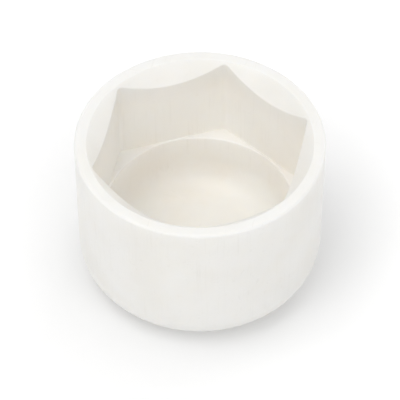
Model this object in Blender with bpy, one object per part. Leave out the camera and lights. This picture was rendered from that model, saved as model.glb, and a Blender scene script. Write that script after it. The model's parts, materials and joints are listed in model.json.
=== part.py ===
"""Screw cover cap: a round plastic cap that is pressed over an M10 hexagon nut or bolt head.

The cap is moulded in one piece. It stands mouth up on its closed end, with its axis on +Z and the
flat of the closed end at z = 0. Its hexagonal socket has flats facing +X and -X, and corners on +Y
and -Y. Lengths are in metres.
"""

import math

import bmesh
import bpy

MM = 0.001

# The nut that the cap covers, and the bolt's end that stands out of it
NUT_ACROSS_FLATS = 17.0 * MM
NUT_HEIGHT = 8.4 * MM
BOLT_END_LENGTH = 5.1 * MM

# The hexagonal socket: GRIP is how much narrower it is than the nut, across its flats, at the ledge
GRIP = 0.1 * MM
SOCKET_DRAFT = math.radians(0.5)
SOCKET_CORNER_RADIUS = 0.6 * MM

# The lead-in cone at the mouth, which starts this far outside the socket's corners
LEAD_IN_MARGIN = 0.2 * MM
LEAD_IN_SLOPE = math.radians(45.0)

# The round pocket for the bolt's end: the ledge round it, at the flats, stops the nut
LEDGE_WIDTH = 0.2 * MM
POCKET_DRAFT = math.radians(1.0)
POCKET_FLOOR_RADIUS = 2.5 * MM

# The walls and the outside
CORNER_WALL = 1.25 * MM
END_WALL = 1.5 * MM
OUTER_DRAFT = math.radians(1.5)
RIM_EDGE_RADIUS = 0.25 * MM
END_EDGE_RADIUS = 3.5 * MM

# The shallow round recess round the moulding gate, in the middle of the closed end
GATE_MARK_RADIUS = 1.5 * MM
GATE_MARK_FLOOR_RADIUS = 1.25 * MM
GATE_MARK_DEPTH = 0.25 * MM

# How finely the round faces are divided
STEPS_AROUND = 96
END_EDGE_STEPS = 8
FLOOR_STEPS = 6
RIM_EDGE_STEPS = 3
CORNER_STEPS = 4
SHARP_EDGE = math.radians(30.0)

# How far the two cores run past the mouth, and the distance at which points on the axis are one
OVERCUT = 1.0 * MM
SAME_POINT = 0.001 * MM

# White polyethylene with a satin finish
COLOUR = (0.86, 0.85, 0.82, 1.0)
ROUGHNESS = 0.42

HEXAGON_SIDES = 6
SIDE_ANGLE = math.tau / HEXAGON_SIDES
QUARTER_TURN = math.pi / 2
HALF_STEP = math.tau / STEPS_AROUND / 2

LEDGE_Z = END_WALL + BOLT_END_LENGTH
HEIGHT = LEDGE_Z + NUT_HEIGHT


def socket_apothem(z):
    """From the axis to the middle of one of the socket's flats."""
    return (NUT_ACROSS_FLATS - GRIP) / 2 + (z - LEDGE_Z) * math.tan(SOCKET_DRAFT)


def socket_corner_reach(z):
    """From the axis to the socket's wall at one of its rounded corners."""
    arc_centre = (socket_apothem(z) - SOCKET_CORNER_RADIUS) / math.cos(SIDE_ANGLE / 2)
    return arc_centre + SOCKET_CORNER_RADIUS


LEAD_IN_RADIUS = socket_corner_reach(HEIGHT) + LEAD_IN_MARGIN
MOUTH_RADIUS = socket_corner_reach(HEIGHT) + CORNER_WALL
POCKET_MOUTH_RADIUS = socket_apothem(LEDGE_Z) - LEDGE_WIDTH


def outer_radius(z):
    """The drafted outside wall, widest at the mouth."""
    return MOUTH_RADIUS - (HEIGHT - z) * math.tan(OUTER_DRAFT)


def pocket_radius(z):
    """The drafted wall of the round pocket, widest at the ledge."""
    return POCKET_MOUTH_RADIUS - (LEDGE_Z - z) * math.tan(POCKET_DRAFT)


def edge_arc(wall_radius, draft, edge_radius, centre_z, angles, steps):
    """Profile points of an arc that runs into a drafted wall, from the first angle to the second.

    The angles are measured from +X towards +Z, about a centre at the height centre_z.
    """
    centre_x = wall_radius(centre_z) - edge_radius / math.cos(draft)
    first, last = angles
    points = []
    for step in range(steps + 1):
        angle = first + (last - first) * step / steps
        points.append((centre_x + edge_radius * math.cos(angle), centre_z + edge_radius * math.sin(angle)))
    return points


def body_profile():
    """The cap's outside with no socket in it, from the middle of the mouth down to the gate mark."""
    rim_edge = edge_arc(
        outer_radius,
        OUTER_DRAFT,
        RIM_EDGE_RADIUS,
        HEIGHT - RIM_EDGE_RADIUS,
        (QUARTER_TURN, -OUTER_DRAFT),
        RIM_EDGE_STEPS,
    )
    end_edge = edge_arc(
        outer_radius,
        OUTER_DRAFT,
        END_EDGE_RADIUS,
        END_EDGE_RADIUS,
        (-OUTER_DRAFT, -QUARTER_TURN),
        END_EDGE_STEPS,
    )
    gate_mark = [(GATE_MARK_RADIUS, 0.0), (GATE_MARK_FLOOR_RADIUS, GATE_MARK_DEPTH), (0.0, GATE_MARK_DEPTH)]
    return [(0.0, HEIGHT)] + rim_edge + end_edge + gate_mark


def round_core_profile():
    """The turned core that leaves the lead-in cone and the round pocket, from its top to the floor."""
    cone_top = LEAD_IN_RADIUS + OVERCUT / math.tan(LEAD_IN_SLOPE)
    cone_foot_z = HEIGHT - (LEAD_IN_RADIUS - POCKET_MOUTH_RADIUS) * math.tan(LEAD_IN_SLOPE)
    lead_in = [(cone_top, HEIGHT + OVERCUT), (POCKET_MOUTH_RADIUS, cone_foot_z)]
    floor = edge_arc(
        pocket_radius,
        POCKET_DRAFT,
        POCKET_FLOOR_RADIUS,
        END_WALL + POCKET_FLOOR_RADIUS,
        (-POCKET_DRAFT, -QUARTER_TURN),
        FLOOR_STEPS,
    )
    return [(0.0, HEIGHT + OVERCUT)] + lead_in + [(POCKET_MOUTH_RADIUS, LEDGE_Z)] + floor + [(0.0, END_WALL)]


def socket_outline(z):
    """Points round the socket's hexagon at one height, with an arc at each of its corners."""
    arc_centre = socket_corner_reach(z) - SOCKET_CORNER_RADIUS
    points = []
    for corner in range(HEXAGON_SIDES):
        corner_angle = SIDE_ANGLE * (corner + 0.5)
        for step in range(CORNER_STEPS + 1):
            angle = corner_angle + SIDE_ANGLE * (step / CORNER_STEPS - 0.5)
            x = arc_centre * math.cos(corner_angle) + SOCKET_CORNER_RADIUS * math.cos(angle)
            y = arc_centre * math.sin(corner_angle) + SOCKET_CORNER_RADIUS * math.sin(angle)
            points.append((x, y, z))
    return points


def add_object(name, mesh):
    """Puts a mesh in the scene as an object of that name."""
    piece = bpy.data.objects.new(name, mesh)
    bpy.context.scene.collection.objects.link(piece)
    return piece


def turned(name, profile):
    """Turns a profile of (x, z) points about the Z axis with a Screw modifier."""
    mesh = bpy.data.meshes.new(name)
    points = [(x, 0.0, z) for x, z in profile]
    edges = [(index, index + 1) for index in range(len(points) - 1)]
    mesh.from_pydata(points, edges, [])
    piece = add_object(name, mesh)
    screw = piece.modifiers.new("Turn", "SCREW")
    screw.axis = "Z"
    screw.angle = math.tau
    screw.steps = STEPS_AROUND
    screw.render_steps = STEPS_AROUND
    screw.use_merge_vertices = True
    screw.merge_threshold = SAME_POINT
    return piece


def lofted(name, lower, upper):
    """A closed solid from the lower outline to the upper one, which has as many points."""
    shape = bmesh.new()
    lower_ring = [shape.verts.new(point) for point in lower]
    upper_ring = [shape.verts.new(point) for point in upper]
    for index in range(len(lower)):
        after = (index + 1) % len(lower)
        shape.faces.new((lower_ring[index], lower_ring[after], upper_ring[after], upper_ring[index]))
    shape.faces.new(reversed(lower_ring))
    shape.faces.new(upper_ring)
    mesh = bpy.data.meshes.new(name)
    shape.to_mesh(mesh)
    shape.free()
    return add_object(name, mesh)


def cut(piece, core):
    """Takes the core's shape out of the piece."""
    core.hide_render = True
    core.display_type = "WIRE"
    boolean = piece.modifiers.new(core.name, "BOOLEAN")
    boolean.operation = "DIFFERENCE"
    boolean.solver = "EXACT"
    boolean.object = core


def finish(piece):
    """Makes the modifiers part of the mesh, and shades it smooth between its real edges."""
    graph = bpy.context.evaluated_depsgraph_get()
    mesh = bpy.data.meshes.new_from_object(piece.evaluated_get(graph))
    mesh.name = piece.name
    piece.modifiers.clear()
    piece.data = mesh
    mesh.shade_smooth()
    mesh.set_sharp_from_angle(angle=SHARP_EDGE)


def polyethylene():
    """The cap's own material."""
    material = bpy.data.materials.new("white polyethylene")
    material.use_nodes = True
    shader = material.node_tree.nodes["Principled BSDF"]
    shader.inputs["Base Color"].default_value = COLOUR
    shader.inputs["Roughness"].default_value = ROUGHNESS
    shader.inputs["Metallic"].default_value = 0.0
    return material


def clear_scene():
    """Removes what the scene holds."""
    for leftover in list(bpy.data.objects):
        bpy.data.objects.remove(leftover, do_unlink=True)


def build():
    """Models the cap: a turned body, less the two cores that shape its inside."""
    clear_scene()
    cap = turned("cap", body_profile())
    round_core = turned("round_core", round_core_profile())
    # So that no edge of the core lies on an edge of the body or of the socket where they cross
    round_core.rotation_euler.z = HALF_STEP
    socket_core = lofted("socket_core", socket_outline(LEDGE_Z), socket_outline(HEIGHT + OVERCUT))
    cut(cap, round_core)
    cut(cap, socket_core)
    finish(cap)
    cap.data.materials.clear()
    cap.data.materials.append(polyethylene())
    for core in (round_core, socket_core):
        bpy.data.objects.remove(core, do_unlink=True)


build()
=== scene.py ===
"""Screw cover cap: the finished cap of white polyethylene, on a studio floor.

The cap replaces the plain CAD solid. It keeps the solid's place and sizes: it stands mouth up on its
closed end, with its axis on +Z and a flat of its hexagonal socket facing +X. Lengths are in metres.
"""

import json
import math

import bpy
from bpy.props import FloatProperty, FloatVectorProperty, IntProperty, PointerProperty
from bpy.types import Operator, Panel, PropertyGroup
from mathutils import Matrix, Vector


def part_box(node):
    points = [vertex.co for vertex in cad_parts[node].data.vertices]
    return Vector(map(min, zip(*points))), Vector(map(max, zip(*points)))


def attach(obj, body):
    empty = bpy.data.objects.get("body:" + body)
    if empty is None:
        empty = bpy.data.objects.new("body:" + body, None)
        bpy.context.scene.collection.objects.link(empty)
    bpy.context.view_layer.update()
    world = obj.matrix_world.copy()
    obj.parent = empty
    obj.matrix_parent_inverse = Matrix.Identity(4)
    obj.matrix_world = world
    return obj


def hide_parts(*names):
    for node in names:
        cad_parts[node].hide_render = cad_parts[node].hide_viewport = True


bl_info = {
    "name": "Screw Cover Cap",
    "version": (1, 0, 0),
    "blender": (4, 5, 0),
    "location": "3D View > Sidebar > Screw Cap",
    "description": "Builds a moulded cap for a hexagon nut, with its materials and a studio",
    "category": "Object",
}

CAD_NODE = "cap"
BODY = "root"

# What the frame says of the cap
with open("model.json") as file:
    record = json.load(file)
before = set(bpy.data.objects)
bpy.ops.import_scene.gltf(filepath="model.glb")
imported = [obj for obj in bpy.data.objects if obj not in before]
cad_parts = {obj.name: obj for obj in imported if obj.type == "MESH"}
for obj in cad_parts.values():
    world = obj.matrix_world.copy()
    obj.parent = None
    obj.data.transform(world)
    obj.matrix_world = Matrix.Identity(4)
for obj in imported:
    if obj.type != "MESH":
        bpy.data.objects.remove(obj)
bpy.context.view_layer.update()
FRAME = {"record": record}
CAD_LOW, CAD_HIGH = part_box(CAD_NODE)
MOUNTS = {mount["name"]: mount for mount in FRAME["record"]["mounts"]}
NUT_STOP = Vector(MOUNTS["nut_stop"]["pos_m"])
SOCKET_FLAT = Vector(MOUNTS["socket_flat"]["pos_m"])

# The drafts of the mould, which the CAD solid has too
OUTER_DRAFT = math.radians(1.5)
SOCKET_DRAFT = math.radians(0.5)
POCKET_DRAFT = math.radians(1.0)

# Roundings that are too small for the CAD solid
STUB_EDGE = 0.05e-3
GATE_MARK_EDGE = 0.08e-3
CONE_TOP_EDGE = 0.12e-3
CONE_FOOT_EDGE = 0.2e-3
SOCKET_FOOT_EDGE = 0.06e-3
POCKET_TOP_EDGE = 0.08e-3

# The gate's stub: how high its end stands above the closed end, as a share of the gate mark's depth, and
# its end's width as a share of its foot's
STUB_END_HEIGHT = 0.52
STUB_TAPER = 0.83

# The hexagon
SIDES = 6
SIDE_ANGLE = math.tau / SIDES
HALF_SIDE = SIDE_ANGLE / 2

# The cap is skinned over meridians, half sections that run from the gate mark to the pocket's floor.
# Over each side of the hexagon they stand evenly up to the angle at which the flat ends, measured from
# its middle, and closer together over the rounded corner.
FLAT_END = math.radians(28.2)
FLAT_STEPS = 20
CORNER_STEPS = 5
MERIDIANS = 2 * SIDES * (FLAT_STEPS + CORNER_STEPS)

# A meridian's corners, and the one at the top of the lead-in cone, where its inner half starts
CORNERS = 13
CONE_TOP_CORNER = 7

# A corner has a guard point on each side, and the two corners on the axis have only one. A guard stands
# this many times as far from its corner as the end of the corner's arc, or this far from the axis.
POINTS_PER_MERIDIAN = 3 * CORNERS - 2
GUARD_REACH = 1.15
AXIS_GUARD = 0.1e-3

# Points that are no farther apart than this are one
SAME_POINT = 1e-7

# How many times the cone's foot is worked out, each time from the socket's wall at its last height
CONE_GUESSES = 2

# How much of each effect the plastic has, outside and inside. The painted hollow warmth is painted
# light: a paler, warmer colour deep in the socket
OUTSIDE_AMOUNTS = {
    "painted_hollow_warmth": 0.0,
    "grain": 0.5,
    "peel": 1.4,
    "scuffs": 0.3,
    "draws": 0.25,
    "rings": 0.0,
    "parting": 2.0,
}
INSIDE_AMOUNTS = {
    "painted_hollow_warmth": 1.0,
    "grain": 0.2,
    "peel": 0.8,
    "scuffs": 0.15,
    "draws": 0.35,
    "rings": 0.35,
    "parting": 0.0,
}

# The depth of the plastic's relief, the share of it that a mark takes away, and what a mark adds to the
# roughness
RELIEF_DEPTH = 0.01e-3
MARK_DEPTH = 0.6
MARK_ROUGHNESS = 0.14

# How light bends into the plastic, and the share of the glow's depth that red, green and blue reach
PLASTIC_IOR = 1.51
SCATTER_REACH = (1.0, 0.95, 0.85)

# The skin's smoother and rougher patches: their size in waves, and how much the roughness changes
PATCH_WAVES = 3.0
PATCH_ROUGHNESS = 0.16

# Where noise turns into an effect: none up to the first value, all of it from the second
CLOUD_RANGE = (0.35, 0.7)
STREAK_RANGE = (0.64, 0.72)
RUBBED_RANGE = (0.5, 0.62)
DRAW_LINE_RANGE = (0.5, 0.72)
DRAW_PLACE_RANGE = (0.35, 0.65)
# A wall is steep up to the first value of its normal's upright part, and level from the second
LEVEL_RANGE = (0.3, 0.8)

# Scuffs and draw marks are only in some places, which a noise of this many times their own scale gives
RUBBED_SCALE = 0.8
DRAW_PLACE_SCALE = 0.08

# How each layer of scuffs is turned, and how much it is squeezed along each of its axes
SCUFF_LAYERS = (
    ((0.4, 0.2, 0.7), (1.0, 16.0, 5.0)),
    ((1.3, 0.9, 2.1), (14.0, 1.0, 6.0)),
    ((0.9, 2.4, 1.2), (5.0, 15.0, 1.0)),
    ((2.2, 0.5, 3.9), (12.0, 1.0, 12.0)),
)

# How far the noise that makes the turning rings uneven moves on from one ring to the next
RING_NOISE_STEP = 0.37

# The noise that makes the parting line fainter in places, and the least of the line that it leaves
PARTING_NOISE_SCALE = 260.0
PARTING_LEAST = 0.3

# How far one step of the seed moves the patterns
SEED_STEP = (0.013, 0.0071, 0.0)

# The floor: the steps round its edge, its gap to the cap and its finish
FLOOR_STEPS = 96
FLOOR_GAP = 0.02e-3
FLOOR_ROUGHNESS = 0.5
FLOOR_ROUGHNESS_SPREAD = 0.1
FLOOR_GRAIN_SCALE = 900.0
FLOOR_SPECULAR = 0.2
# The floor lets light through up to the open radius, and less and less of it out to the cap's own
OPEN_RADIUS = 0.6 * CAD_HIGH.x
# The floor is seen whiter than it is lit from here outwards
LIFT_RADIUS = 0.82 * CAD_HIGH.x

# Each lamp's name, place and width
LAMPS = (
    ("top", (-0.16, -0.12, 0.58), 0.3),
    ("key", (-0.16, -0.4, 0.44), 0.35),
    ("fill", (0.3, -0.3, 0.4), 0.4),
    ("under", (0.2, -0.2, -0.5), 0.4),
    ("back", (0.2, 0.45, 0.35), 0.4),
)

# The camera
CAMERA_DISTANCE = 0.47
SENSOR_WIDTH = 36.0
CLIP_START = 0.01
CLIP_END = 5.0


class NodeMaker:
    """Adds nodes to one tree. A value that is a socket is linked, and any other is set."""

    COLUMN_WIDTH = 220
    ROW_HEIGHT = 180

    def __init__(self, tree):
        self.tree = tree

    def fill(self, socket, value):
        """Links one socket, or sets it."""
        if isinstance(value, bpy.types.NodeSocket):
            self.tree.links.new(value, socket)
        else:
            socket.default_value = value

    def add(self, kind, values=None, **settings):
        """Adds a node; values go to its inputs by identifier."""
        node = self.tree.nodes.new(kind)
        for name, setting in settings.items():
            setattr(node, name, setting)
        inputs = {socket.identifier: socket for socket in node.inputs}
        for identifier, value in (values or {}).items():
            self.fill(inputs[identifier], value)
        return node

    def math(self, operation, *operands):
        """The result of a Math node."""
        node = self.tree.nodes.new("ShaderNodeMath")
        node.operation = operation
        for socket, operand in zip(node.inputs, operands):
            self.fill(socket, operand)
        return node.outputs[0]

    def sum(self, first, *others):
        """All the values together."""
        total = first
        for other in others:
            total = self.math("ADD", total, other)
        return total

    def product(self, first, *others):
        """All the values times each other."""
        total = first
        for other in others:
            total = self.math("MULTIPLY", total, other)
        return total

    def vector(self, operation, *operands):
        """The Vector Math node, whose outputs are Vector and Value."""
        node = self.tree.nodes.new("ShaderNodeVectorMath")
        node.operation = operation
        for socket, operand in zip(node.inputs, operands):
            self.fill(socket, operand)
        return node

    def scaled(self, vector, factor):
        """The vector times a number."""
        values = {"Vector": vector, "Scale": factor}
        return self.add("ShaderNodeVectorMath", values, operation="SCALE").outputs["Vector"]

    def whole(self, operation, first, second):
        """The result of an Integer Math node."""
        node = self.tree.nodes.new("FunctionNodeIntegerMath")
        node.operation = operation
        self.fill(node.inputs[0], first)
        self.fill(node.inputs[1], second)
        return node.outputs[0]

    def pick(self, index, items, data_type):
        """The item that has this index."""
        node = self.tree.nodes.new("GeometryNodeIndexSwitch")
        node.data_type = data_type
        while len(node.index_switch_items) < len(items):
            node.index_switch_items.new()
        self.fill(node.inputs[0], index)
        for socket, item in zip(list(node.inputs)[1:], items):
            self.fill(socket, item)
        return node.outputs[0]

    def blend(self, factor, first, second):
        """A number between the first and the second."""
        values = {"Factor_Float": factor, "A_Float": first, "B_Float": second}
        return self.add("ShaderNodeMix", values).outputs["Result"]

    def colour_mix(self, factor, first, second, blend_type="MIX"):
        """A colour between the first and the second, or the first with the second's effect on it."""
        values = {"Factor_Float": factor, "A_Color": first, "B_Color": second}
        node = self.add("ShaderNodeMix", values, data_type="RGBA", blend_type=blend_type)
        return next(socket for socket in node.outputs if socket.identifier == "Result_Color")

    def above(self, value, low, high):
        """0 up to the low value, 1 from the high one, and a smooth step between them."""
        values = {"Value": value, "From Min": low, "From Max": high}
        return self.add("ShaderNodeMapRange", values, interpolation_type="SMOOTHSTEP").outputs["Result"]

    def below(self, value, low, high):
        """1 up to the low value, 0 from the high one, and a smooth step between them."""
        return self.math("SUBTRACT", 1.0, self.above(value, low, high))

    def noise(self, vector, scale, detail, roughness=0.5, distortion=0.0):
        """Noise between 0 and 1."""
        values = {"Vector": vector, "Scale": scale, "Detail": detail}
        values.update(Roughness=roughness, Distortion=distortion)
        return self.add("ShaderNodeTexNoise", values).outputs["Fac"]

    def fill_named(self, sockets, values):
        """Fills sockets by name, where an underscore stands for a space."""
        for name, value in values.items():
            self.fill(sockets[name.replace("_", " ")], value)

    def group(self, tree, **values):
        """Places a node group, and gives its outputs."""
        node = self.add(self.tree.bl_idname.replace("Tree", "Group"), node_tree=tree)
        self.fill_named(node.inputs, values)
        return node.outputs

    def finish_group(self, **results):
        """Feeds the outputs of this tree, which is a group, and gives the tree."""
        self.fill_named(self.add("NodeGroupOutput").inputs, results)
        self.arrange()
        return self.tree

    def arrange(self):
        """Sets the nodes out in columns, each one to the right of all that feed it."""
        depth = {node: 0 for node in self.tree.nodes}
        links = [(link.from_node, link.to_node) for link in self.tree.links]
        changed = True
        while changed:
            changed = False
            for source, target in links:
                if depth[target] <= depth[source]:
                    depth[target] = depth[source] + 1
                    changed = True
        rows = {}
        for node, column in depth.items():
            row = rows.get(column, 0)
            rows[column] = row + 1
            node.location = (column * self.COLUMN_WIDTH, -row * self.ROW_HEIGHT)


def new_group(name, kind, inputs, outputs):
    """The maker of a new node group, and what the group is given.

    Each input has a name, a type and a default, and each output has a name and a type.
    """
    tree = bpy.data.node_groups.new(name, kind)
    for label, data_type, default in inputs:
        socket = tree.interface.new_socket(
            name=label, in_out="INPUT", socket_type="NodeSocket" + data_type
        )
        if default is not None:
            socket.default_value = default
    for label, data_type in outputs:
        tree.interface.new_socket(name=label, in_out="OUTPUT", socket_type="NodeSocket" + data_type)
    make = NodeMaker(tree)
    return make, make.add("NodeGroupInput").outputs


def empty_nodes(holder):
    """The maker for a material's or a world's node tree, which starts with no nodes."""
    holder.use_nodes = True
    holder.node_tree.nodes.clear()
    return NodeMaker(holder.node_tree)


# Sizes and colours that a user would change


def length_property(name, description, default):
    """A length in metres."""
    return FloatProperty(name=name, description=description, unit="LENGTH", default=default)


def share_property(name, description, default):
    """A number from 0 to 1."""
    return FloatProperty(
        name=name, description=description, subtype="FACTOR", min=0.0, max=1.0, default=default
    )


def strength_property(name, description, default):
    """A number from 0 up."""
    return FloatProperty(name=name, description=description, min=0.0, default=default)


def angle_property(name, description, default):
    """An angle in radians, which the sidebar shows in degrees."""
    return FloatProperty(
        name=name, description=description, subtype="ANGLE", unit="ROTATION", default=default
    )


def colour_property(name, description, default):
    """Red, green and blue, each from 0 to 1."""
    return FloatVectorProperty(
        name=name, description=description, subtype="COLOR", size=3, min=0.0, max=1.0, default=default
    )


class ScrewCapSizes(PropertyGroup):
    """The sizes of the cap."""

    height: length_property("Height", "From the closed end to the rim", CAD_HIGH.z - CAD_LOW.z)
    rim_radius: length_property(
        "Rim Radius", "The cap's widest radius, just under the rim's rounded edge", CAD_HIGH.x
    )
    rim_edge_radius: length_property("Rim Edge", "Rounding of the rim's outer edge", 0.25e-3)
    end_edge_radius: length_property(
        "End Edge", "Rounding between the outside wall and the closed end", 3.5e-3
    )
    ledge_height: length_property(
        "Ledge Height", "Height of the ledge that stops the nut, above the closed end", NUT_STOP.z
    )
    socket_apothem: length_property(
        "Socket Apothem",
        "From the axis to a flat of the socket, at the ledge",
        SOCKET_FLAT.x - (SOCKET_FLAT.z - NUT_STOP.z) * math.tan(SOCKET_DRAFT),
    )
    socket_corner_radius: length_property(
        "Socket Corner", "Rounding of the socket's six upright corners", 0.6e-3
    )
    lead_in_margin: length_property(
        "Lead-in Margin",
        "How far outside the socket's corners the lead-in cone starts, at the rim",
        0.2e-3,
    )
    ledge_width: length_property("Ledge Width", "Width of the ledge at the flats", 0.2e-3)
    pocket_floor_radius: length_property(
        "Pocket Floor Edge", "Rounding at the foot of the round pocket", 2.5e-3
    )
    end_wall: length_property("End Wall", "Thickness of the closed end", 1.5e-3)
    gate_mark_radius: length_property(
        "Gate Mark Radius", "Radius of the shallow recess round the moulding gate", 1.5e-3
    )
    gate_mark_depth: length_property(
        "Gate Mark Depth", "Depth of the recess round the moulding gate", 0.25e-3
    )
    gate_stub_radius: length_property(
        "Gate Stub Radius", "Radius of the stub that the gate leaves in its recess", 0.42e-3
    )


class ScrewCapFinish(PropertyGroup):
    """The colours and the surface of the plastic."""

    colour: colour_property("Colour", "Colour of the white polyethylene", (0.868, 0.861, 0.838))
    # Painted light: the paler, warmer colour deep in the socket, and the depth at which it is full,
    # stand in for light bounced round the socket and passed through its walls
    painted_hollow_colour: colour_property(
        "Inner Colour",
        "Colour deep inside the socket, where light has passed through more of the plastic",
        (0.94, 0.915, 0.877),
    )
    painted_hollow_fade: length_property(
        "Inner Fade", "Depth below the rim at which the inside has its inner colour", 4.0e-3
    )
    cloud_tint: colour_property(
        "Cloud Tint", "What the faint clouds in the plastic do to its colour", (0.975, 0.968, 0.952)
    )
    scuff_tint: colour_property("Scuff Tint", "What a scuff does to the colour", (0.9, 0.895, 0.88))
    roughness: share_property("Roughness", "Roughness of the satin outside", 0.42)
    inner_roughness: share_property(
        "Inner Roughness", "Roughness of the inside, which the smoother core leaves", 0.36
    )
    grain_size: length_property(
        "Grain Size", "Size of the grains that the mould leaves on the outside", 0.16e-3
    )
    peel_size: length_property(
        "Peel Size", "Size of the shallow waves in the skin, which soften the highlights", 0.75e-3
    )
    glow: share_property("Glow", "How much light scatters inside the plastic", 0.65)
    glow_depth: length_property("Glow Depth", "How far light scatters inside the plastic", 1.5e-3)
    seed: IntProperty(
        name="Seed",
        description="Shifts the clouds, grains and scuffs",
        default=7,
    )


class ScrewCapStudio(PropertyGroup):
    """The floor, the lamps and the camera."""

    floor_colour: colour_property("Floor Colour", "Colour of the floor", (0.88, 0.88, 0.88))
    floor_lift: strength_property(
        "Floor Lift",
        "How much whiter the floor is seen than it is lit, growing away from the cap",
        0.18,
    )
    floor_radius: length_property("Floor Radius", "Radius of the round floor", 0.6)
    top_power: strength_property("Top Power", "Power of the lamp above the cap, in watts", 0.7)
    key_power: strength_property(
        "Key Power", "Power of the large lamp in front on the left, in watts", 0.5
    )
    fill_power: strength_property("Fill Power", "Power of the large lamp on the right, in watts", 0.4)
    under_power: strength_property(
        "Under Power",
        "Power of the lamp under the floor, which shows the closed end from below, in watts",
        0.45,
    )
    back_power: strength_property("Back Power", "Power of the lamp behind the cap, in watts", 0.38)
    ambient: strength_property("Ambient", "Strength of the even light from all round", 0.66)
    camera_height: angle_property(
        "Camera Height", "Angle of the camera above the floor", math.radians(48.0)
    )
    camera_turn: angle_property(
        "Camera Turn", "Angle of the camera round the cap, from the front", math.radians(13.0)
    )
    focal_length: FloatProperty(
        name="Focal Length",
        description="The camera's focal length",
        subtype="DISTANCE_CAMERA",
        default=480.0,
    )


# The cap's shape


def rounded_hexagon_group():
    """From the axis to a hexagon with rounded corners, in the direction of an azimuth."""
    make, given = new_group(
        "Rounded hexagon radius",
        "GeometryNodeTree",
        [
            ("Apothem", "Float", 0.0085),
            ("Corner Radius", "Float", 0.0006),
            ("Azimuth", "Float", 0.0),
        ],
        [("Radius", "Float")],
    )
    apothem, corner_radius = given["Apothem"], given["Corner Radius"]
    # The angle from the middle of the nearest flat
    turned = make.math("FLOORED_MODULO", make.sum(given["Azimuth"], HALF_SIDE), SIDE_ANGLE)
    angle = make.math("ABSOLUTE", make.math("SUBTRACT", turned, HALF_SIDE))
    on_flat = make.math("DIVIDE", apothem, make.math("COSINE", angle))
    # The line from the axis meets the corner's arc, whose centre is this far out towards the corner
    inner_apothem = make.math("SUBTRACT", apothem, corner_radius)
    centre = make.math("DIVIDE", inner_apothem, math.cos(HALF_SIDE))
    off_corner = make.math("SUBTRACT", HALF_SIDE, angle)
    across = make.product(centre, make.math("SINE", off_corner))
    along = make.product(centre, make.math("COSINE", off_corner))
    radius_squared = make.product(corner_radius, corner_radius)
    chord = make.math("SUBTRACT", radius_squared, make.product(across, across))
    on_corner = make.sum(along, make.math("SQRT", make.math("MAXIMUM", chord, 0.0)))
    # Where the flat ends and the arc starts
    arc_start = make.math("DIVIDE", make.product(inner_apothem, math.tan(HALF_SIDE)), apothem)
    is_corner = make.math("GREATER_THAN", angle, make.math("ARCTANGENT", arc_start))
    return make.finish_group(Radius=make.blend(is_corner, on_flat, on_corner))


def cap_inputs(sizes):
    """The named inputs of the cap's tree, one for each size, with their values."""
    properties = sizes.bl_rna.properties
    return [(properties[key].name, getattr(sizes, key)) for key in sizes.__annotations__]


def meridian_azimuth(make, meridian):
    """Spreads the meridians evenly over each flat, and closer together over each rounded corner."""
    per_side = MERIDIANS // SIDES
    from_middle = make.whole("SUBTRACT", make.whole("MODULO", meridian, per_side), per_side // 2)
    steps = make.math("ABSOLUTE", from_middle)
    on_flat = make.product(make.math("MINIMUM", steps, FLAT_STEPS), FLAT_END / FLAT_STEPS)
    corner_steps = make.math("MAXIMUM", make.math("SUBTRACT", steps, FLAT_STEPS), 0.0)
    on_corner = make.product(corner_steps, (HALF_SIDE - FLAT_END) / CORNER_STEPS)
    offset = make.product(make.sum(on_flat, on_corner), make.math("SIGN", from_middle))
    side = make.whole("DIVIDE_FLOOR", meridian, per_side)
    return make.sum(make.product(side, SIDE_ANGLE), offset)


class Corner:
    """A corner of a meridian: how far out from the axis and how high it is, and how it is rounded.

    The meridian turns there through some degrees, over the steps of an arc.
    """

    def __init__(self, out, up, rounding, turn, steps):
        self.out = out
        self.up = up
        self.rounding = rounding
        self.turn = turn
        self.steps = steps


def added_points(corners):
    """How many points the rounding of these corners adds to a meridian."""
    return sum(corner.steps for corner in corners if corner.turn)


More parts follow.
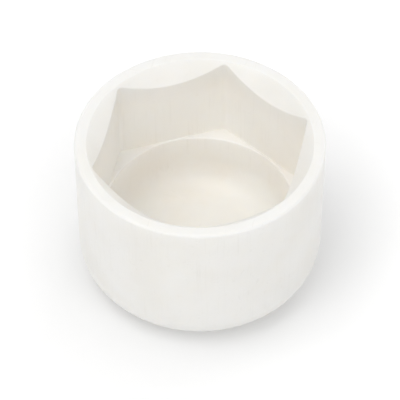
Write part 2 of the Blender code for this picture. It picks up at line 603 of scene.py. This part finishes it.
def cap_tree(sizes, outside, inside):
    """The tree that skins the cap over its meridians, each one a chain of rounded corners."""
    inputs = [(label, "Float", value) for label, value in cap_inputs(sizes)]
    inputs += [("Outside", "Material", outside), ("Inside", "Material", inside)]
    make, given = new_group("Cap", "GeometryNodeTree", inputs, [("Geometry", "Geometry")])
    hexagon = rounded_hexagon_group()

    # Which corner of which meridian a point belongs to, and on which side of it the point stands
    index = make.add("GeometryNodeInputIndex").outputs[0]
    meridian = make.whole("DIVIDE_FLOOR", index, POINTS_PER_MERIDIAN)
    along = make.whole("MODULO", index, POINTS_PER_MERIDIAN)
    number = make.whole("DIVIDE_FLOOR", make.whole("ADD", along, 1), 3)
    side = make.whole("SUBTRACT", make.whole("MODULO", make.whole("ADD", along, 1), 3), 1)
    azimuth = meridian_azimuth(make, meridian)

    def socket_apothem(height):
        """From the axis to the socket's flats at a height."""
        rise = make.math("SUBTRACT", height, given["Ledge Height"])
        return make.sum(given["Socket Apothem"], make.product(rise, math.tan(SOCKET_DRAFT)))

    def socket_radius(apothem):
        """From the axis to the socket's wall, in the meridian's direction."""
        values = {"Apothem": apothem, "Corner_Radius": given["Socket Corner"], "Azimuth": azimuth}
        return make.group(hexagon, **values)["Radius"]

    # The outside: the rim radius is measured where the rim's rounded edge starts
    height = given["Height"]
    rim_reach = make.sum(given["Rim Radius"], make.product(given["Rim Edge"], math.tan(OUTER_DRAFT)))
    end_reach = make.math("SUBTRACT", rim_reach, make.product(height, math.tan(OUTER_DRAFT)))

    # The lead-in cone starts at the rim, outside the socket's corners, and meets the socket's wall
    rim_apothem = socket_apothem(height)
    corner_centre = make.math("SUBTRACT", rim_apothem, given["Socket Corner"])
    corner_centre = make.math("DIVIDE", corner_centre, math.cos(HALF_SIDE))
    cone_top = make.sum(corner_centre, given["Socket Corner"], given["Lead-in Margin"])
    cone_foot_wall = socket_radius(rim_apothem)
    for _ in range(CONE_GUESSES):
        cone_foot = make.math("SUBTRACT", height, make.math("SUBTRACT", cone_top, cone_foot_wall))
        cone_foot_wall = socket_radius(socket_apothem(cone_foot))

    # The ledge and the round pocket
    ledge = given["Ledge Height"]
    ledge_wall = socket_radius(socket_apothem(ledge))
    pocket_reach = make.math("SUBTRACT", given["Socket Apothem"], given["Ledge Width"])
    pocket_depth = make.math("SUBTRACT", ledge, given["End Wall"])
    pocket_foot = make.math("SUBTRACT", pocket_reach, make.product(pocket_depth, math.tan(POCKET_DRAFT)))

    # The gate mark, whose edge slopes by 45 degrees, with the stub that the gate leaves
    mark_depth = given["Gate Mark Depth"]
    stub_end = make.product(mark_depth, STUB_END_HEIGHT)
    stub_end_radius = make.product(given["Gate Stub Radius"], STUB_TAPER)
    mark_floor = make.math("SUBTRACT", given["Gate Mark Radius"], mark_depth)

    corners = [
        Corner(0.0, stub_end, 0.0, 0.0, 1),
        Corner(stub_end_radius, stub_end, STUB_EDGE, 60.0, 4),
        Corner(given["Gate Stub Radius"], mark_depth, STUB_EDGE, 60.0, 4),
        Corner(mark_floor, mark_depth, GATE_MARK_EDGE, 45.0, 4),
        Corner(given["Gate Mark Radius"], 0.0, GATE_MARK_EDGE, 45.0, 4),
        Corner(end_reach, 0.0, given["End Edge"], 88.5, 32),
        Corner(rim_reach, height, given["Rim Edge"], 91.5, 10),
        Corner(cone_top, height, CONE_TOP_EDGE, 45.0, 6),
        Corner(cone_foot_wall, cone_foot, CONE_FOOT_EDGE, 44.5, 6),
        Corner(ledge_wall, ledge, SOCKET_FOOT_EDGE, 90.0, 4),
        Corner(pocket_reach, ledge, POCKET_TOP_EDGE, 90.0, 5),
        Corner(pocket_foot, given["End Wall"], given["Pocket Floor Edge"], 89.0, 20),
        Corner(0.0, given["End Wall"], 0.0, 0.0, 1),
    ]
    places, reaches = [], []
    for corner in corners:
        places.append(make.add("ShaderNodeCombineXYZ", {"X": corner.out, "Z": corner.up}).outputs[0])
        factor = math.tan(math.radians(corner.turn) / 2) * GUARD_REACH
        reaches.append(make.product(corner.rounding, factor) if corner.turn else AXIS_GUARD)
    roundings = [corner.rounding for corner in corners]
    steps = [corner.steps for corner in corners]

    # A guard point stands off its corner, towards the next corner on its side
    own = make.pick(number, places, "VECTOR")
    neighbour = make.pick(make.whole("ADD", number, side), places, "VECTOR")
    towards = make.vector("NORMALIZE", make.vector("SUBTRACT", neighbour, own).outputs["Vector"])
    offset = make.scaled(towards.outputs["Vector"], make.pick(number, reaches, "FLOAT"))
    place = make.vector("ADD", own, offset).outputs["Vector"]
    turned = make.add(
        "ShaderNodeVectorRotate", {"Vector": place, "Angle": azimuth}, rotation_type="Z_AXIS"
    )

    # Points become one polyline for each meridian, and its corners are rounded
    total = MERIDIANS * POINTS_PER_MERIDIAN
    points = make.add("GeometryNodePoints", {"Count": total, "Position": turned.outputs[0]})
    chains = make.add(
        "GeometryNodePointsToCurves",
        {"Points": points.outputs[0], "Curve Group ID": meridian, "Weight": along},
    )
    is_corner = make.math("COMPARE", side, 0.0, 0.5)
    rounding = make.product(make.pick(number, roundings, "FLOAT"), is_corner)
    rounded = make.add(
        "GeometryNodeFilletCurve",
        {
            "Curve": chains.outputs[0],
            "Count": make.pick(number, steps, "INT"),
            "Radius": rounding,
            "Limit Radius": False,
        },
        mode="POLY",
    )

    # A grid is laid over the meridians; its last strip of faces closes the turn
    rows = POINTS_PER_MERIDIAN + added_points(corners)
    grid = make.add("GeometryNodeMeshGrid", {"Vertices X": MERIDIANS + 1, "Vertices Y": rows})
    sample = make.add("GeometryNodeSampleIndex", data_type="FLOAT_VECTOR", domain="POINT")
    make.fill(sample.inputs["Geometry"], rounded.outputs[0])
    make.fill(sample.inputs["Value"], make.add("GeometryNodeInputPosition").outputs[0])
    make.fill(sample.inputs["Index"], make.whole("MODULO", index, MERIDIANS * rows))
    numbered = make.add(
        "GeometryNodeCaptureAttribute", {"Geometry": grid.outputs["Mesh"]}, domain="FACE"
    )
    numbered.capture_items.new("INT", "Row")
    make.fill(numbered.inputs["Row"], make.whole("MODULO", index, rows - 1))
    skin = make.add(
        "GeometryNodeSetPosition", {"Geometry": numbered.outputs[0], "Position": sample.outputs[0]}
    )
    closed = make.add(
        "GeometryNodeMergeByDistance", {"Geometry": skin.outputs[0], "Distance": SAME_POINT}
    )
    smooth = make.add("GeometryNodeSetShadeSmooth", {"Geometry": closed.outputs[0]})

    # The inside is every row past the middle of the cone's top edge
    rows_before_cone = 3 * CONE_TOP_CORNER + added_points(corners[:CONE_TOP_CORNER])
    inner_row = rows_before_cone + corners[CONE_TOP_CORNER].steps // 2
    is_inside = make.math("GREATER_THAN", numbered.outputs["Row"], inner_row)
    real = make.add("GeometryNodeRealizeInstances", {"Geometry": smooth.outputs[0]})
    all_outside = make.add(
        "GeometryNodeSetMaterial", {"Geometry": real.outputs[0], "Material": given["Outside"]}
    )
    finished = make.add(
        "GeometryNodeSetMaterial",
        {"Geometry": all_outside.outputs[0], "Selection": is_inside, "Material": given["Inside"]},
    )
    return make.finish_group(Geometry=finished.outputs[0])


def plain_mesh(piece):
    """Turns what the piece's modifiers make into its own mesh, and removes them."""
    graph = bpy.context.evaluated_depsgraph_get()
    mesh = bpy.data.meshes.new_from_object(piece.evaluated_get(graph))
    mesh.name = piece.name
    # The grid that the skin starts as brings an empty first material slot
    if mesh.materials[0] is None:
        mesh.materials.pop(index=0)
    piece.modifiers.clear()
    piece.data = mesh


# The plastic


def cloud_group():
    """Faint clouds in the plastic's colour."""
    make, given = new_group(
        "Plastic clouds",
        "ShaderNodeTree",
        [
            ("Vector", "Vector", None),
            ("Colour", "Color", (0.87, 0.865, 0.84, 1.0)),
            ("Cloud Tint", "Color", (0.97, 0.965, 0.95, 1.0)),
            ("Cloud Size", "Float", 0.006),
            ("Amount", "Float", 1.0),
        ],
        [("Colour", "Color")],
    )
    scale = make.math("DIVIDE", 1.0, given["Cloud Size"])
    noise = make.noise(given["Vector"], scale, detail=3.0, roughness=0.55)
    mask = make.product(make.above(noise, *CLOUD_RANGE), given["Amount"])
    cloudy = make.colour_mix(mask, given["Colour"], given["Cloud Tint"], "MULTIPLY")
    return make.finish_group(Colour=cloudy)


def depth_group():
    """How far a place is down from the rim, from 0 at the rim to 1 at the fade's depth, which places the
    painted warm light in the socket.
    """
    make, given = new_group(
        "Depth below the rim",
        "ShaderNodeTree",
        [
            ("Vector", "Vector", None),
            ("Rim Height", "Float", 0.015),
            ("Fade", "Float", 0.004),
            ("Amount", "Float", 1.0),
        ],
        [("Mask", "Float")],
    )
    height = make.add("ShaderNodeSeparateXYZ", {"Vector": given["Vector"]}).outputs["Z"]
    depth = make.math("SUBTRACT", given["Rim Height"], height)
    mask = make.above(depth, 0.0, given["Fade"])
    return make.finish_group(Mask=make.product(mask, given["Amount"]))


def skin_group():
    """The skin that the mould leaves: a fine grain on shallow waves, as heights and as roughness."""
    make, given = new_group(
        "Moulded skin",
        "ShaderNodeTree",
        [
            ("Vector", "Vector", None),
            ("Grain Size", "Float", 0.00016),
            ("Grain", "Float", 1.0),
            ("Peel Size", "Float", 0.00075),
            ("Peel", "Float", 1.0),
        ],
        [("Height", "Float"), ("Roughness Change", "Float")],
    )

    def noise(size, detail):
        """Noise whose largest forms have this size."""
        return make.noise(given["Vector"], make.math("DIVIDE", 1.0, size), detail, roughness=0.55)

    grain = make.product(noise(given["Grain Size"], detail=2.0), given["Grain"])
    peel = make.product(noise(given["Peel Size"], detail=1.0), given["Peel"])
    patches = noise(make.product(given["Peel Size"], PATCH_WAVES), detail=2.0)
    change = make.product(make.math("SUBTRACT", patches, 0.5), PATCH_ROUGHNESS)
    return make.finish_group(Height=make.sum(grain, peel), Roughness_Change=change)


def scuff_group():
    """Thin scuffs from caps that rub against each other."""
    make, given = new_group(
        "Handling scuffs",
        "ShaderNodeTree",
        [
            ("Vector", "Vector", None),
            ("Length", "Float", 0.003),
            ("Amount", "Float", 1.0),
        ],
        [("Mask", "Float")],
    )
    scale = make.math("DIVIDE", 1.0, given["Length"])

    # Each layer of scuffs runs its own way, and only the places that rub have any
    mask = 0.0
    for turn, stretch in SCUFF_LAYERS:
        values = {"Vector": given["Vector"], "Rotation": turn, "Scale": stretch}
        placed = make.add("ShaderNodeMapping", values).outputs[0]
        streaks = make.noise(placed, scale, detail=2.0, roughness=0.4, distortion=0.7)
        moved = make.vector("ADD", given["Vector"], turn).outputs["Vector"]
        rubbed = make.noise(moved, make.product(scale, RUBBED_SCALE), detail=1.0)
        layer = make.product(make.above(streaks, *STREAK_RANGE), make.above(rubbed, *RUBBED_RANGE))
        mask = make.math("MAXIMUM", mask, layer)
    return make.finish_group(Mask=make.product(mask, given["Amount"]))


def draw_group():
    """Faint lines along the way out of the mould, on the steep walls, which rub against it."""
    make, given = new_group(
        "Draw marks",
        "ShaderNodeTree",
        [
            ("Vector", "Vector", None),
            ("Normal", "Vector", None),
            ("Width", "Float", 0.0002),
            ("Length", "Float", 0.008),
            ("Amount", "Float", 1.0),
        ],
        [("Mask", "Float")],
    )
    squeeze = make.math("DIVIDE", given["Width"], given["Length"])
    squeezed = make.add("ShaderNodeCombineXYZ", {"X": 1.0, "Y": 1.0, "Z": squeeze}).outputs[0]
    drawn_out = make.vector("MULTIPLY", given["Vector"], squeezed).outputs["Vector"]
    scale = make.math("DIVIDE", 1.0, given["Width"])
    lines = make.noise(drawn_out, scale, detail=3.0, roughness=0.6)
    lines = make.above(lines, *DRAW_LINE_RANGE)
    # Some stretches of the wall have more of them than others
    places = make.noise(given["Vector"], make.product(scale, DRAW_PLACE_SCALE), detail=1.0)
    places = make.above(places, *DRAW_PLACE_RANGE)
    upright = make.add("ShaderNodeSeparateXYZ", {"Vector": given["Normal"]}).outputs["Z"]
    steep = make.below(make.math("ABSOLUTE", upright), *LEVEL_RANGE)
    return make.finish_group(Mask=make.product(lines, places, steep, given["Amount"]))


def turning_group():
    """Fine rings about the cap's axis, as the turned core leaves them."""
    make, given = new_group(
        "Turning rings",
        "ShaderNodeTree",
        [
            ("Vector", "Vector", None),
            ("Pitch", "Float", 0.0002),
            ("Amount", "Float", 1.0),
        ],
        [("Height", "Float")],
    )
    parts = make.add("ShaderNodeSeparateXYZ", {"Vector": given["Vector"]}).outputs
    flat_place = make.add("ShaderNodeCombineXYZ", {"X": parts["X"], "Y": parts["Y"]}).outputs[0]
    from_axis = make.vector("LENGTH", flat_place).outputs["Value"]
    # On the floor the rings follow the radius, and on the walls the height
    phase = make.math("DIVIDE", make.sum(from_axis, parts["Z"]), given["Pitch"])
    wave = make.sum(make.product(make.math("SINE", make.product(phase, math.tau)), 0.5), 0.5)
    uneven = make.add(
        "ShaderNodeTexNoise",
        {"W": make.product(phase, RING_NOISE_STEP), "Scale": 1.0, "Detail": 3.0},
        noise_dimensions="1D",
    ).outputs["Fac"]
    return make.finish_group(Height=make.product(wave, uneven, given["Amount"]))


def parting_group():
    """The fine raised line round the outside where the two halves of the mould meet, as a height."""
    make, given = new_group(
        "Parting line",
        "ShaderNodeTree",
        [
            ("Vector", "Vector", None),
            ("Line Height", "Float", 0.01475),
            ("Width", "Float", 0.00006),
            ("Amount", "Float", 1.0),
        ],
        [("Height", "Float")],
    )
    height = make.add("ShaderNodeSeparateXYZ", {"Vector": given["Vector"]}).outputs["Z"]
    off_line = make.math("ABSOLUTE", make.math("SUBTRACT", height, given["Line Height"]))
    ridge = make.below(off_line, 0.0, given["Width"])
    # The line is fainter in some places than in others
    uneven = make.noise(given["Vector"], PARTING_NOISE_SCALE, detail=2.0)
    raised = make.product(ridge, make.sum(uneven, PARTING_LEAST), given["Amount"])
    return make.finish_group(Height=raised)


def plastic(name, finish, sizes, groups, roughness, amounts, seed):
    """A white polyethylene. The amounts say how much of each effect its skin has."""
    material = bpy.data.materials.new(name)
    make = empty_nodes(material)
    coordinates = make.add("ShaderNodeTexCoord").outputs
    place = coordinates["Object"]
    shift = tuple(step * seed for step in SEED_STEP)
    shifted = make.add("ShaderNodeMapping", {"Vector": place, "Location": shift}).outputs[0]
    # Painted light: the colour grows paler and warmer with depth below the rim, for light bounced round
    # the socket and passed through its walls
    depth = make.group(
        groups["depth"],
        Vector=place,
        Rim_Height=sizes.height,
        Fade=finish.painted_hollow_fade,
        Amount=amounts["painted_hollow_warmth"],
    )
    colour = make.colour_mix(depth["Mask"], (*finish.colour, 1.0), (*finish.painted_hollow_colour, 1.0))
    clouds = make.group(
        groups["clouds"], Vector=shifted, Colour=colour, Cloud_Tint=(*finish.cloud_tint, 1.0)
    )
    skin = make.group(
        groups["skin"],
        Vector=shifted,
        Grain_Size=finish.grain_size,
        Grain=amounts["grain"],
        Peel_Size=finish.peel_size,
        Peel=amounts["peel"],
    )
    scuffs = make.group(groups["scuffs"], Vector=shifted, Amount=amounts["scuffs"])
    draws = make.group(
        groups["draws"], Vector=shifted, Normal=coordinates["Normal"], Amount=amounts["draws"]
    )
    rings = make.group(groups["rings"], Vector=place, Amount=amounts["rings"])
    parting = make.group(
        groups["parting"],
        Vector=place,
        Line_Height=sizes.height - sizes.rim_edge_radius,
        Amount=amounts["parting"],
    )
    marks = make.math("MAXIMUM", scuffs["Mask"], draws["Mask"])
    marked = make.colour_mix(marks, clouds["Colour"], (*finish.scuff_tint, 1.0), "MULTIPLY")
    rough = make.sum(skin["Roughness Change"], make.product(marks, MARK_ROUGHNESS), roughness)
    dents = make.product(marks, -MARK_DEPTH)
    height = make.sum(skin["Height"], rings["Height"], parting["Height"], dents)
    bump = make.add("ShaderNodeBump", {"Strength": 1.0, "Distance": RELIEF_DEPTH, "Height": height})
    shader = make.add(
        "ShaderNodeBsdfPrincipled",
        {
            "Base Color": marked,
            "Roughness": rough,
            "Normal": bump.outputs["Normal"],
            "IOR": PLASTIC_IOR,
            "Subsurface Weight": finish.glow,
            "Subsurface Radius": SCATTER_REACH,
            "Subsurface Scale": finish.glow_depth,
        },
        subsurface_method="RANDOM_WALK",
    )
    make.add("ShaderNodeOutputMaterial", {"Surface": shader.outputs["BSDF"]})
    make.arrange()
    return material


class SCREW_CAP_OT_make_cap(Operator):
    """Builds the cap with Geometry Nodes, gives it its plastic and sets it in the CAD cap's place"""

    bl_idname = "screw_cap.make_cap"
    bl_label = "Make Cap"

    def execute(self, context):
        sizes, finish = context.scene.screw_cap_sizes, context.scene.screw_cap_finish
        groups = {
            "clouds": cloud_group(),
            "depth": depth_group(),
            "skin": skin_group(),
            "scuffs": scuff_group(),
            "draws": draw_group(),
            "rings": turning_group(),
            "parting": parting_group(),
        }
        outside = plastic(
            "satin polyethylene", finish, sizes, groups, finish.roughness, OUTSIDE_AMOUNTS, finish.seed
        )
        inside = plastic(
            "smooth polyethylene",
            finish,
            sizes,
            groups,
            finish.inner_roughness,
            INSIDE_AMOUNTS,
            finish.seed + 1,
        )
        cap = bpy.data.objects.new("polyethylene_cap", bpy.data.meshes.new("polyethylene_cap"))
        context.scene.collection.objects.link(cap)
        tree = cap_tree(sizes, outside, inside)
        modifier = cap.modifiers.new("Cap", "NODES")
        modifier.node_group = tree
        for label, value in cap_inputs(sizes):
            modifier[tree.interface.items_tree[label].identifier] = value
        plain_mesh(cap)
        if len(cap.data.polygons) == 0:
            raise RuntimeError("the cap's tree made no faces")
        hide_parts(CAD_NODE)
        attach(cap, BODY)
        return {"FINISHED"}


# The studio


def white_lift(make):
    """1 for rays of the camera, of reflections and through glass, to which the background is white."""
    path = make.add("ShaderNodeLightPath").outputs
    seen = make.math("MAXIMUM", path["Is Camera Ray"], path["Is Glossy Ray"])
    return make.math("MAXIMUM", seen, path["Is Transmission Ray"])


def floor_material(studio):
    """A pale floor that is clear from below, and lets light from below reach the cap's underside."""
    material = bpy.data.materials.new("studio floor")
    make = empty_nodes(material)
    place = make.add("ShaderNodeTexCoord").outputs["Object"]
    grain = make.noise(place, FLOOR_GRAIN_SCALE, detail=4.0)
    shader = make.add(
        "ShaderNodeBsdfPrincipled",
        {
            "Base Color": (*studio.floor_colour, 1.0),
            "Roughness": make.sum(make.product(grain, FLOOR_ROUGHNESS_SPREAD), FLOOR_ROUGHNESS),
            "Specular IOR Level": FLOOR_SPECULAR,
        },
    ).outputs[0]
    # The floor is seen as it is lit where it meets the cap, and whiter and whiter away from there
    from_axis = make.vector("LENGTH", place).outputs["Value"]
    reach = make.math("LOGARITHM", make.math("DIVIDE", from_axis, LIFT_RADIUS), math.e)
    strength = make.product(make.math("MAXIMUM", reach, 0.0), studio.floor_lift, white_lift(make))
    lift = make.add("ShaderNodeEmission", {"Strength": strength}).outputs[0]
    from_above = make.add("ShaderNodeAddShader", {"Shader": shader, "Shader_001": lift}).outputs[0]
    clear = make.add("ShaderNodeBsdfTransparent").outputs[0]
    from_below = make.add("ShaderNodeNewGeometry").outputs["Backfacing"]
    covered = make.below(from_axis, OPEN_RADIUS, CAD_HIGH.x)
    bounced = make.math("SUBTRACT", 1.0, make.add("ShaderNodeLightPath").outputs["Is Camera Ray"])
    is_clear = make.math("MAXIMUM", from_below, make.product(covered, bounced))
    surface = make.add(
        "ShaderNodeMixShader", {"Fac": is_clear, "Shader": from_above, "Shader_001": clear}
    ).outputs[0]
    make.add("ShaderNodeOutputMaterial", {"Surface": surface})
    make.arrange()
    return material


def add_floor(studio):
    """A round floor, just under the cap so that the two faces don't meet in one plane."""
    edge = []
    for step in range(FLOOR_STEPS):
        angle = math.tau * step / FLOOR_STEPS
        x = studio.floor_radius * math.cos(angle)
        y = studio.floor_radius * math.sin(angle)
        edge.append((x, y, -FLOOR_GAP))
    mesh = bpy.data.meshes.new("studio_floor")
    mesh.from_pydata(edge, [], [list(range(FLOOR_STEPS))])
    mesh.materials.append(floor_material(studio))
    floor = bpy.data.objects.new("studio_floor", mesh)
    bpy.context.scene.collection.objects.link(floor)


def add_lamp(name, power, place, width, aim):
    """A square soft lamp that faces a point."""
    lamp = bpy.data.lights.new(name, "AREA")
    lamp.energy = power
    lamp.shape = "SQUARE"
    lamp.size = width
    holder = bpy.data.objects.new(name, lamp)
    holder.location = place
    holder.rotation_euler = (aim - Vector(place)).to_track_quat("-Z", "Y").to_euler()
    bpy.context.scene.collection.objects.link(holder)


def set_world(strength):
    """An even light from all round, which the camera and reflections see as white."""
    world = bpy.data.worlds.new("studio world")
    make = empty_nodes(world)
    level = make.blend(white_lift(make), strength, 1.0)
    background = make.add("ShaderNodeBackground", {"Color": (1.0, 1.0, 1.0, 1.0), "Strength": level})
    make.add("ShaderNodeOutputWorld", {"Surface": background.outputs[0]})
    make.arrange()
    bpy.context.scene.world = world


def add_camera(studio, centre):
    """The camera looks at the cap from the front and above, as the photograph does."""
    camera = bpy.data.cameras.new("camera")
    camera.lens = studio.focal_length
    camera.sensor_width = SENSOR_WIDTH
    camera.clip_start = CLIP_START
    camera.clip_end = CLIP_END
    holder = bpy.data.objects.new("camera", camera)
    out = math.cos(studio.camera_height)
    turn = studio.camera_turn
    away = Vector((out * math.sin(turn), -out * math.cos(turn), math.sin(studio.camera_height)))
    holder.location = centre + CAMERA_DISTANCE * away
    holder.rotation_euler = (-away).to_track_quat("-Z", "Y").to_euler()
    bpy.context.scene.collection.objects.link(holder)
    bpy.context.scene.camera = holder


class SCREW_CAP_OT_set_stage(Operator):
    """Adds the floor, the lamps, the world and the camera"""

    bl_idname = "screw_cap.set_stage"
    bl_label = "Set Stage"

    def execute(self, context):
        studio = context.scene.screw_cap_studio
        centre = (CAD_LOW + CAD_HIGH) / 2
        add_floor(studio)
        for name, place, width in LAMPS:
            add_lamp(name + " lamp", getattr(studio, name + "_power"), place, width, centre)
        set_world(studio.ambient)
        add_camera(studio, centre)
        context.scene.view_settings.view_transform = "Standard"
        return {"FINISHED"}


class SCREW_CAP_PT_sidebar(Panel):
    """The cap's sizes, finish and studio, with the operators that use them"""

    bl_idname = "SCREW_CAP_PT_sidebar"
    bl_label = "Screw Cover Cap"
    bl_space_type = "VIEW_3D"
    bl_region_type = "UI"
    bl_category = "Screw Cap"

    def draw(self, context):
        for operator, settings in (
            (SCREW_CAP_OT_make_cap, (context.scene.screw_cap_sizes, context.scene.screw_cap_finish)),
            (SCREW_CAP_OT_set_stage, (context.scene.screw_cap_studio,)),
        ):
            box = self.layout.box()
            for group in settings:
                for name in group.__annotations__:
                    box.prop(group, name)
            box.operator(operator.bl_idname)


CLASSES = (
    ScrewCapSizes,
    ScrewCapFinish,
    ScrewCapStudio,
    SCREW_CAP_OT_make_cap,
    SCREW_CAP_OT_set_stage,
    SCREW_CAP_PT_sidebar,
)


def register():
    """Adds the classes, and the settings that the scene holds."""
    for item in CLASSES:
        bpy.utils.register_class(item)
    bpy.types.Scene.screw_cap_sizes = PointerProperty(type=ScrewCapSizes)
    bpy.types.Scene.screw_cap_finish = PointerProperty(type=ScrewCapFinish)
    bpy.types.Scene.screw_cap_studio = PointerProperty(type=ScrewCapStudio)


def unregister():
    """Takes away what register adds."""
    del bpy.types.Scene.screw_cap_studio
    del bpy.types.Scene.screw_cap_finish
    del bpy.types.Scene.screw_cap_sizes
    for item in reversed(CLASSES):
        bpy.utils.unregister_class(item)


def main():
    """Builds the cap and its stage."""
    register()
    bpy.ops.screw_cap.make_cap()
    bpy.ops.screw_cap.set_stage()


if __name__ == "__main__":
    main()
